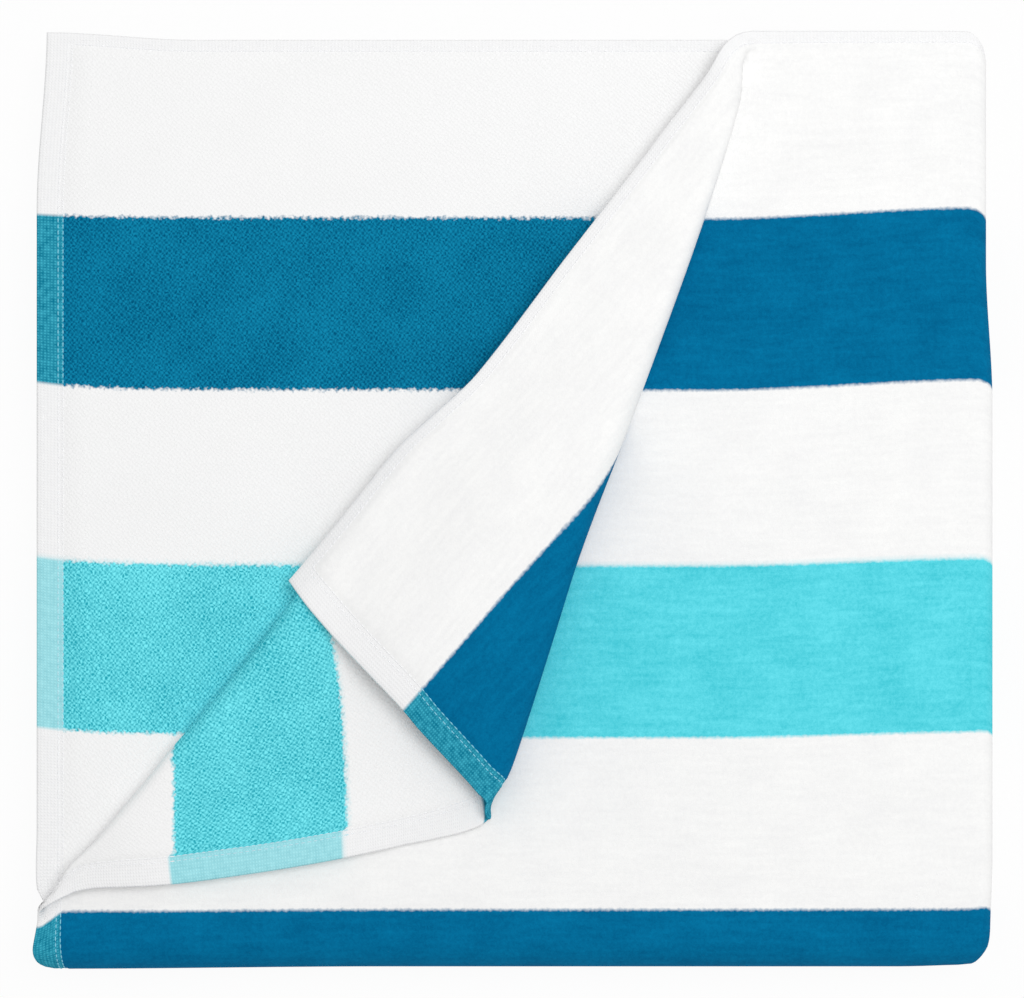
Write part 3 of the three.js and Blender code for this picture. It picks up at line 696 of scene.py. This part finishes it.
def towel_mesh():
    numbers = np.arange(V.size).reshape(V.shape)
    inner = np.zeros(V.shape, bool)
    inner[1:-1, 1:-1] = True
    under = numbers.copy()
    under[inner] = V.size + np.arange(inner.sum())
    points = np.concatenate([velour_points.reshape(-1, 3), terry_points[inner]])

    def quads(n):
        return np.stack([n[:-1, :-1], n[:-1, 1:], n[1:, 1:], n[1:, :-1]], axis=-1).reshape(-1, 4)

    faces = np.concatenate([quads(numbers), quads(under)[:, ::-1]])
    mesh = bpy.data.meshes.new("towel_cloth")
    mesh.from_pydata((points - CENTRE) * MM, [], faces)
    flat = np.stack([U, V], axis=-1)
    flat = np.concatenate([flat.reshape(-1, 2), flat[inner]])[faces.ravel()]
    folded_under = (flat[:, 0] <= TOP_HEM) & (np.arange(len(flat)) >= len(flat) // 2)
    flat[:, 1] -= HEM_JOG * folded_under
    layer = mesh.uv_layers.new(name="flat_cloth")
    layer.uv.foreach_set("vector", (flat * MM).ravel().astype(np.float32))
    mesh.polygons.foreach_set("use_smooth", np.ones(len(faces), bool))
    middle_u = (U[:-1, :-1] + U[1:, 1:]).ravel() / 2
    middle_v = (V[:-1, :-1] + V[1:, 1:]).ravel() / 2
    hem = (middle_u < TOP_HEM) | (middle_u > LENGTH - SECOND_HEM)
    hem |= (middle_v < SIDE_HEM) | (middle_v > WIDTH - SIDE_HEM)
    finishes = [np.where(hem, HEM, pile) for pile in (VELOUR, TERRY)]
    mesh.polygons.foreach_set("material_index", np.concatenate(finishes))
    mesh.update()
    return mesh


towel = bpy.data.objects.new("towel_cloth", towel_mesh())
bpy.context.collection.objects.link(towel)
print("towel", len(towel.data.vertices), "points", len(towel.data.polygons) * 2, "triangles")

# %% [markdown]
# ## Stripes
#
# The stripes run along the length and repeat on both sides of a teal middle stripe, so a single
# number decides the dye: how far a place is from the nearer side edge. A colour ramp turns that
# number into the stripe, with a very short blend at each change, where dyed yarns mix.
#
# Cotton pile isn't one flat colour, because its tips catch the light and its gaps lie in shade.
# That light is painted here: each face has two ramps, a darker one with painted shade for its gaps
# and a lighter one with a painted highlight for its tips, and a pattern of the pile mixes them.
# Mixing the two ramps keeps the colour clean where plain darkening would turn it grey.

# %% Dyes
STRIPES = columns(
    "start kind",             # 0 white, 1 teal, 2 aqua, from a side edge to the middle
    (0, 0), (88.9, 1), (170.9, 0), (252.7, 2), (334.6, 0), (415.4, 1))
BLEND = 0.35                  # half the width of a change of stripe
# each finish gives its colours twice: a darker copy with painted shade for the gaps, a lighter copy
# with a painted highlight for the tips
VELOUR_DYES_WITH_PAINTED_LIGHT = {
    "gaps": (srgb(243, 243, 243), srgb(0, 97, 142), srgb(70, 203, 217)),
    "tips": (srgb(252, 252, 251), srgb(3, 118, 165), srgb(106, 228, 241))}
TERRY_DYES_WITH_PAINTED_LIGHT = {
    "gaps": (srgb(245, 245, 245), srgb(0, 86, 124), srgb(36, 168, 186)),
    "tips": (srgb(251, 251, 251), srgb(16, 138, 178), srgb(126, 243, 253))}
HEM_DYES_WITH_PAINTED_LIGHT = {
    "gaps": (srgb(245, 245, 246), srgb(10, 122, 152), srgb(150, 217, 226)),
    "tips": (srgb(251, 251, 251), srgb(70, 186, 210), srgb(176, 240, 247))}
THREAD_DYES_WITH_PAINTED_LIGHT = {
    "gaps": (srgb(240, 241, 243), srgb(112, 196, 222), srgb(180, 226, 236)),
    "tips": (srgb(250, 250, 251), srgb(158, 226, 240), srgb(214, 242, 248))}


def stripe_ramp(tree, v, dyes_with_painted_light):
    """The dye at v, a distance in metres across the flat cloth, in the copy given: the one with
    painted shade for the gaps, or the one with a painted highlight for the tips.
    """
    off_middle = v - WIDTH * MM / 2
    edge = WIDTH * MM / 2 - off_middle.sum("ABSOLUTE", off_middle)
    stops = [(0.0, dyes_with_painted_light[0])]
    for before, row in zip(STRIPES, STRIPES[1:]):
        stops.append(((row["start"] - BLEND) / (WIDTH / 2), dyes_with_painted_light[int(before["kind"])]))
        stops.append(((row["start"] + BLEND) / (WIDTH / 2), dyes_with_painted_light[int(row["kind"])]))
    return Socket.node(
        tree, "ShaderNodeValToRGB", {"stops": stops}, {"Fac": edge / (WIDTH * MM / 2)})


def dyed_pile_with_painted_light(tree, v, dyes_with_painted_light, tips):
    """The ramp with painted shade and the ramp with a painted highlight, mixed by a pattern that is
    0 in the gaps and 1 on the tips.
    """
    # a Mix node's sockets for colours share their names with others, so they go by number
    return Socket.node(
        tree, "ShaderNodeMix", {"data_type": "RGBA"},
        {0: tips, 6: stripe_ramp(tree, v, dyes_with_painted_light["gaps"]), 7: stripe_ramp(tree, v, dyes_with_painted_light["tips"])},
        output=2)


print("stripes", len(STRIPES), "from a side edge to the middle")

# %% Patterns on the flat cloth
BAND_PITCH = 0.314            # from ridge to ridge of a Wave texture at scale 1, along an axis
DIAGONAL_PITCH = 0.444        # and the same for diagonal bands
CROSSING = ((1.0, 1.0, 1.0), (1.15, -0.92, 1.0))    # scales that make two sets of bands cross
SPILL = 1.9                   # the size of the steps in which loops spill over a line


def new_material(name):
    material = bpy.data.materials.new(name)
    material.use_nodes = True
    material.node_tree.nodes.clear()
    return material, material.node_tree


def flat_cloth(tree, scale_u=1.0):
    """The place on the flat cloth, in metres. A scale under 1 stretches a pattern lengthwise."""
    place = Socket.node(tree, "ShaderNodeUVMap", {"uv_map": "flat_cloth"})
    return Socket.node(
        tree, "ShaderNodeMapping", {}, {"Vector": place, "Scale": (scale_u, 1.0, 1.0)})


def noise(tree, place, size, detail=2.0, roughness=0.5):
    """Soft blotches from 0 to 1, of about the size given in millimetres."""
    return Socket.node(tree, "ShaderNodeTexNoise", {"noise_dimensions": "2D"}, {
        "Vector": place, "Scale": 1 / (size * MM), "Detail": detail, "Roughness": roughness})


def curls(tree, place, pitch, wander):
    """Curly ridges a pitch apart in millimetres that cross both ways, from 0 to 1 on top."""
    ridges = [Socket.node(
        tree, "ShaderNodeTexWave", {"wave_type": "BANDS", "bands_direction": "DIAGONAL"},
        {"Vector": Socket.node(tree, "ShaderNodeMapping", {}, {"Vector": place, "Scale": scale}),
         "Scale": DIAGONAL_PITCH / (pitch * MM), "Distortion": wander, "Detail": 1.5,
         "Detail Scale": 1.6}, output="Fac") for scale in CROSSING]
    return (ridges[0] + ridges[1]) / 2


def ragged_v(tree, place, wander):
    """v, pushed about by a part of wander in millimetres, as loops spill over their line."""
    v = Socket.node(tree, "ShaderNodeSeparateXYZ", {}, {"Vector": place}, output="Y")
    return v + (noise(tree, place, SPILL, 1.0) - 0.5) * (wander * MM)


def finish_material(tree, colour, roughness, height, depth):
    """Cotton's dull shader. The depth of its bumps is in millimetres."""
    bump = Socket.node(tree, "ShaderNodeBump", {}, {"Height": height, "Distance": depth * MM})
    shader = Socket.node(tree, "ShaderNodeBsdfPrincipled", {}, {
        "Base Color": colour, "Roughness": roughness, "Normal": bump, "Specular IOR Level": 0.03})
    Socket.node(tree, "ShaderNodeOutputMaterial", {}, {"Surface": shader})


print("patterns", [pattern.__name__ for pattern in (noise, curls, ragged_v)])

# %% [markdown]
# ## Three finishes
#
# Terry is a crowd of short loops that lean every way. From above they read as curly ridges with
# small dark gaps, so a wave pattern with a lot of wander draws them, with painted shade in the gaps
# and a painted highlight on the ridges, and a soft noise thins them out in places. Velour is the
# same pile with the loops sheared off: the ridges almost vanish in a fine fuzz, and faint streaks
# along the length and broad, soft patches show where the pile has been brushed; they are painted
# sheen, more or less of the painted highlight. The hems carry no pile at all. They are plain-woven
# in paler yarns, so a fine check of two waves draws their weave, with painted shade between the
# yarns and a painted highlight on them.

# %% Terry
LOOP = 1.7                    # one loop and the gap beside it


def terry():
    material, tree = new_material("cotton terry loops")
    place = flat_cloth(tree)
    loops = curls(tree, place, LOOP, 6.0)
    clump = noise(tree, place, 3.0, 2.0)
    patch = noise(tree, place, 30.0, 3.0)
    # the loops stand out most where they clump, with more painted shade in the gaps and more
    # painted highlight on the tips
    tips = 0.55 + (loops - 0.5) * (clump * 2.2 - 0.1) + (patch - 0.5) * 0.5
    colour = dyed_pile_with_painted_light(tree, ragged_v(tree, place, 3.4), TERRY_DYES_WITH_PAINTED_LIGHT, tips)
    finish_material(tree, colour, roughness=0.95, height=loops, depth=0.13)
    return material


print("terry loops", LOOP, "mm")

# %% Velour
TUFT = 1.9                    # one sheared tuft and the gap beside it
STREAK = 0.14                 # the lengthwise scale that makes streaks of a pattern


def velour():
    material, tree = new_material("sheared cotton velour")
    place = flat_cloth(tree)
    tufts = curls(tree, place, TUFT, 12.0)
    fuzz = noise(tree, place, 2.4, 3.0, 0.6)
    streak = noise(tree, flat_cloth(tree, STREAK), 3.2, 3.0, 0.6)
    patch = noise(tree, place, 24.0, 4.0, 0.6)
    # fuzz, streaks and patches count the same in the mix of painted shade and painted highlight,
    # and the tufts hardly show
    tips = (0.5 + (tufts - 0.5) * 0.35 + (fuzz - 0.5) * 0.9 + (streak - 0.5) * 0.9
            + (patch - 0.5) * 0.9)
    colour = dyed_pile_with_painted_light(tree, ragged_v(tree, place, 1.1), VELOUR_DYES_WITH_PAINTED_LIGHT, tips)
    finish_material(tree, colour, roughness=0.9, height=tufts, depth=0.04)
    return material


print("velour tufts", TUFT, "mm, streaks", round(1 / STREAK, 1), "times as long as wide")

# %% Flat-woven hem
WEFT, WARP = 1.6, 1.35        # from one cross yarn, and from one lengthwise yarn, to the next


def hem():
    material, tree = new_material("flat-woven cotton hem")
    place = flat_cloth(tree)
    v = Socket.node(tree, "ShaderNodeSeparateXYZ", {}, {"Vector": place}, output="Y")

    def ribs(direction, pitch):
        return Socket.node(
            tree, "ShaderNodeTexWave", {"wave_type": "BANDS", "bands_direction": direction},
            {"Vector": place, "Scale": BAND_PITCH / (pitch * MM), "Distortion": 1.0,
             "Detail": 1.0, "Detail Scale": 0.7}, output="Fac")

    weave = ribs("X", WEFT) * ribs("Y", WARP)
    slub = noise(tree, place, 3.0, 3.0)
    # slubs are the places where a yarn is thicker, and there the painted highlight is stronger
    tips = 0.22 + weave * 0.7 + (slub - 0.5) * 1.1
    colour = dyed_pile_with_painted_light(tree, v, HEM_DYES_WITH_PAINTED_LIGHT, tips)
    finish_material(tree, colour, roughness=0.85, height=weave, depth=0.16)
    return material


for finish in (velour, terry, hem):
    towel.data.materials.append(finish())
print("finishes", [slot.material.name for slot in towel.material_slots])

# %% [markdown]
# ## Stitches
#
# Every hem is sewn down: two rows run along each end hem and one along each side hem, and they
# show on both faces. A stitch is one short bead of thread, repeated hundreds of times along a
# line, which is work for Geometry Nodes. The script lays the lines on the cloth, using the same
# map as the cloth itself. The nodes resample a line at the pitch of the stitches, put a bead on
# each point along its direction, and give it the thread.

# %% Rows of stitches
STITCH_PITCH = 2.9            # from one stitch to the next
STITCH_LENGTH = 2.5
STITCH_WIDTH = 0.62
END_ROWS = (11.2, 13.5)       # distance of each row from the hem's edge
SIDE_ROW = 5.8
LINE_STEP = 2.0               # spacing of the points that lay a row on the cloth
PROUD = 0.02                  # how far a row's middle stands off the face


def row_lines(along_end):
    """Each row as arrays u and v: along the two end hems, or along the two side hems."""
    if along_end:
        v = np.arange(SIDE_HEM, WIDTH - SIDE_HEM, LINE_STEP)
        top, second = END_ROWS, [row + SECOND_HEM - TOP_HEM for row in END_ROWS]
        return [(np.full(v.shape, u), v) for u in (*top, *(LENGTH - np.array(second)))]
    u = np.arange(TOP_HEM, LENGTH - SECOND_HEM, LINE_STEP)
    return [(u, np.full(u.shape, v)) for v in (SIDE_ROW, WIDTH - SIDE_ROW)]


def line_mesh(name, lines):
    """One mesh of edges for all the rows on both faces; each point knows its v."""
    points, edges, across = [], [], []
    for u, v in lines:
        for side in (1, -1):
            first = len(points)
            points += list((on_face(u, v, side, PROUD) - CENTRE) * MM)
            edges += [(first + i, first + i + 1) for i in range(len(u) - 1)]
            across += list(v * MM)
    mesh = bpy.data.meshes.new(name)
    mesh.from_pydata(points, edges, [])
    mesh.attributes.new("across", "FLOAT", "POINT").data.foreach_set("value", across)
    return mesh


print("rows of stitches", len(row_lines(True)) + len(row_lines(False)), "on each face")

# %% The stitching tree
SHORTEST, LONGEST = 0.86, 1.08     # of the stitch length, as no two stitches are quite alike


def stitching():
    tree = bpy.data.node_groups.new("stitching", "GeometryNodeTree")
    tree.interface.new_socket("Geometry", in_out="OUTPUT", socket_type="NodeSocketGeometry")
    for name, kind in (("Rows", "Geometry"), ("Pitch", "Float"), ("Length", "Float"),
                       ("Width", "Float"), ("Thread", "Material")):
        tree.interface.new_socket(name, in_out="INPUT", socket_type="NodeSocket" + kind)
    asked = tree.nodes.new("NodeGroupInput")
    rows, pitch, length, width, thread = (Socket(output) for output in asked.outputs[:5])
    line = Socket.node(tree, "GeometryNodeMeshToCurve", {}, {"Mesh": rows})
    line = Socket.node(
        tree, "GeometryNodeResampleCurve", {"mode": "LENGTH"}, {"Curve": line, "Length": pitch})
    bead = Socket.node(
        tree, "GeometryNodeMeshUVSphere", {}, {"Segments": 6, "Rings": 4, "Radius": 0.5})
    turn = Socket.node(
        tree, "FunctionNodeAlignRotationToVector", {"axis": "X"},
        {"Vector": Socket.node(tree, "GeometryNodeInputTangent")})
    vary = Socket.node(tree, "FunctionNodeRandomValue", {"data_type": "FLOAT"},
                       {2: SHORTEST, 3: LONGEST, "Seed": 7}, output=1)
    size = Socket.node(
        tree, "ShaderNodeCombineXYZ", {}, {"X": length * vary, "Y": width, "Z": width})
    beads = Socket.node(tree, "GeometryNodeInstanceOnPoints", {}, {
        "Points": line, "Instance": bead, "Rotation": turn, "Scale": size})
    solid = Socket.node(tree, "GeometryNodeRealizeInstances", {}, {"Geometry": beads})
    solid = Socket.node(
        tree, "GeometryNodeSetMaterial", {}, {"Geometry": solid, "Material": thread})
    tree.links.new(solid.output, tree.nodes.new("NodeGroupOutput").inputs[0])
    return tree


print("stitch", STITCH_LENGTH, "mm long, one each", STITCH_PITCH, "mm")

# %% Thread
PLY_SCALE = 1400.0            # how many spots of the ply's pattern there are to a metre


def thread():
    material, tree = new_material("cotton sewing thread")
    across = Socket.node(tree, "ShaderNodeAttribute", {"attribute_name": "across"}, output="Fac")
    place = Socket.node(tree, "ShaderNodeTexCoord", {}, {}, output="Object")
    ply = Socket.node(
        tree, "ShaderNodeTexNoise", {}, {"Vector": place, "Scale": PLY_SCALE, "Detail": 1.0})
    # the ply's pattern mixes painted shade and a painted highlight along the thread
    colour = dyed_pile_with_painted_light(tree, across, THREAD_DYES_WITH_PAINTED_LIGHT, ply)
    finish_material(tree, colour, roughness=0.7, height=ply, depth=0.05)
    return material


def sew(name, lines, tree, material):
    rows = bpy.data.objects.new(name + "_rows", line_mesh(name + "_rows", lines))
    bpy.context.collection.objects.link(rows)
    modifier = rows.modifiers.new("stitching", "NODES")
    modifier.node_group = tree
    sockets = {item.name: item.identifier for item in tree.interface.items_tree
               if item.in_out == "INPUT"}
    modifier[sockets["Pitch"]] = STITCH_PITCH * MM
    modifier[sockets["Length"]] = STITCH_LENGTH * MM
    modifier[sockets["Width"]] = STITCH_WIDTH * MM
    modifier[sockets["Thread"]] = material
    seen = rows.evaluated_get(bpy.context.evaluated_depsgraph_get())
    mesh = bpy.data.meshes.new_from_object(seen)
    mesh.name = name
    bpy.data.objects.remove(rows)
    stitches = bpy.data.objects.new(name, mesh)
    bpy.context.collection.objects.link(stitches)
    print(name, sum(len(face.vertices) - 2 for face in mesh.polygons), "triangles")
    return stitches


stitch_tree, cotton_thread = stitching(), thread()
end_stitches = sew("end_hem_stitches", row_lines(True), stitch_tree, cotton_thread)
side_stitches = sew("side_hem_stitches", row_lines(False), stitch_tree, cotton_thread)

# %% [markdown]
# ## Hand over
#
# The towel stands for the frame's plain cloth, and the stitches ride along with it.

# %% Hand over to the frame
for piece in (towel, end_stitches, side_stitches):
    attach(piece, "root")
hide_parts("towel")
print("handed over", [piece.name for piece in (towel, end_stitches, side_stitches)])
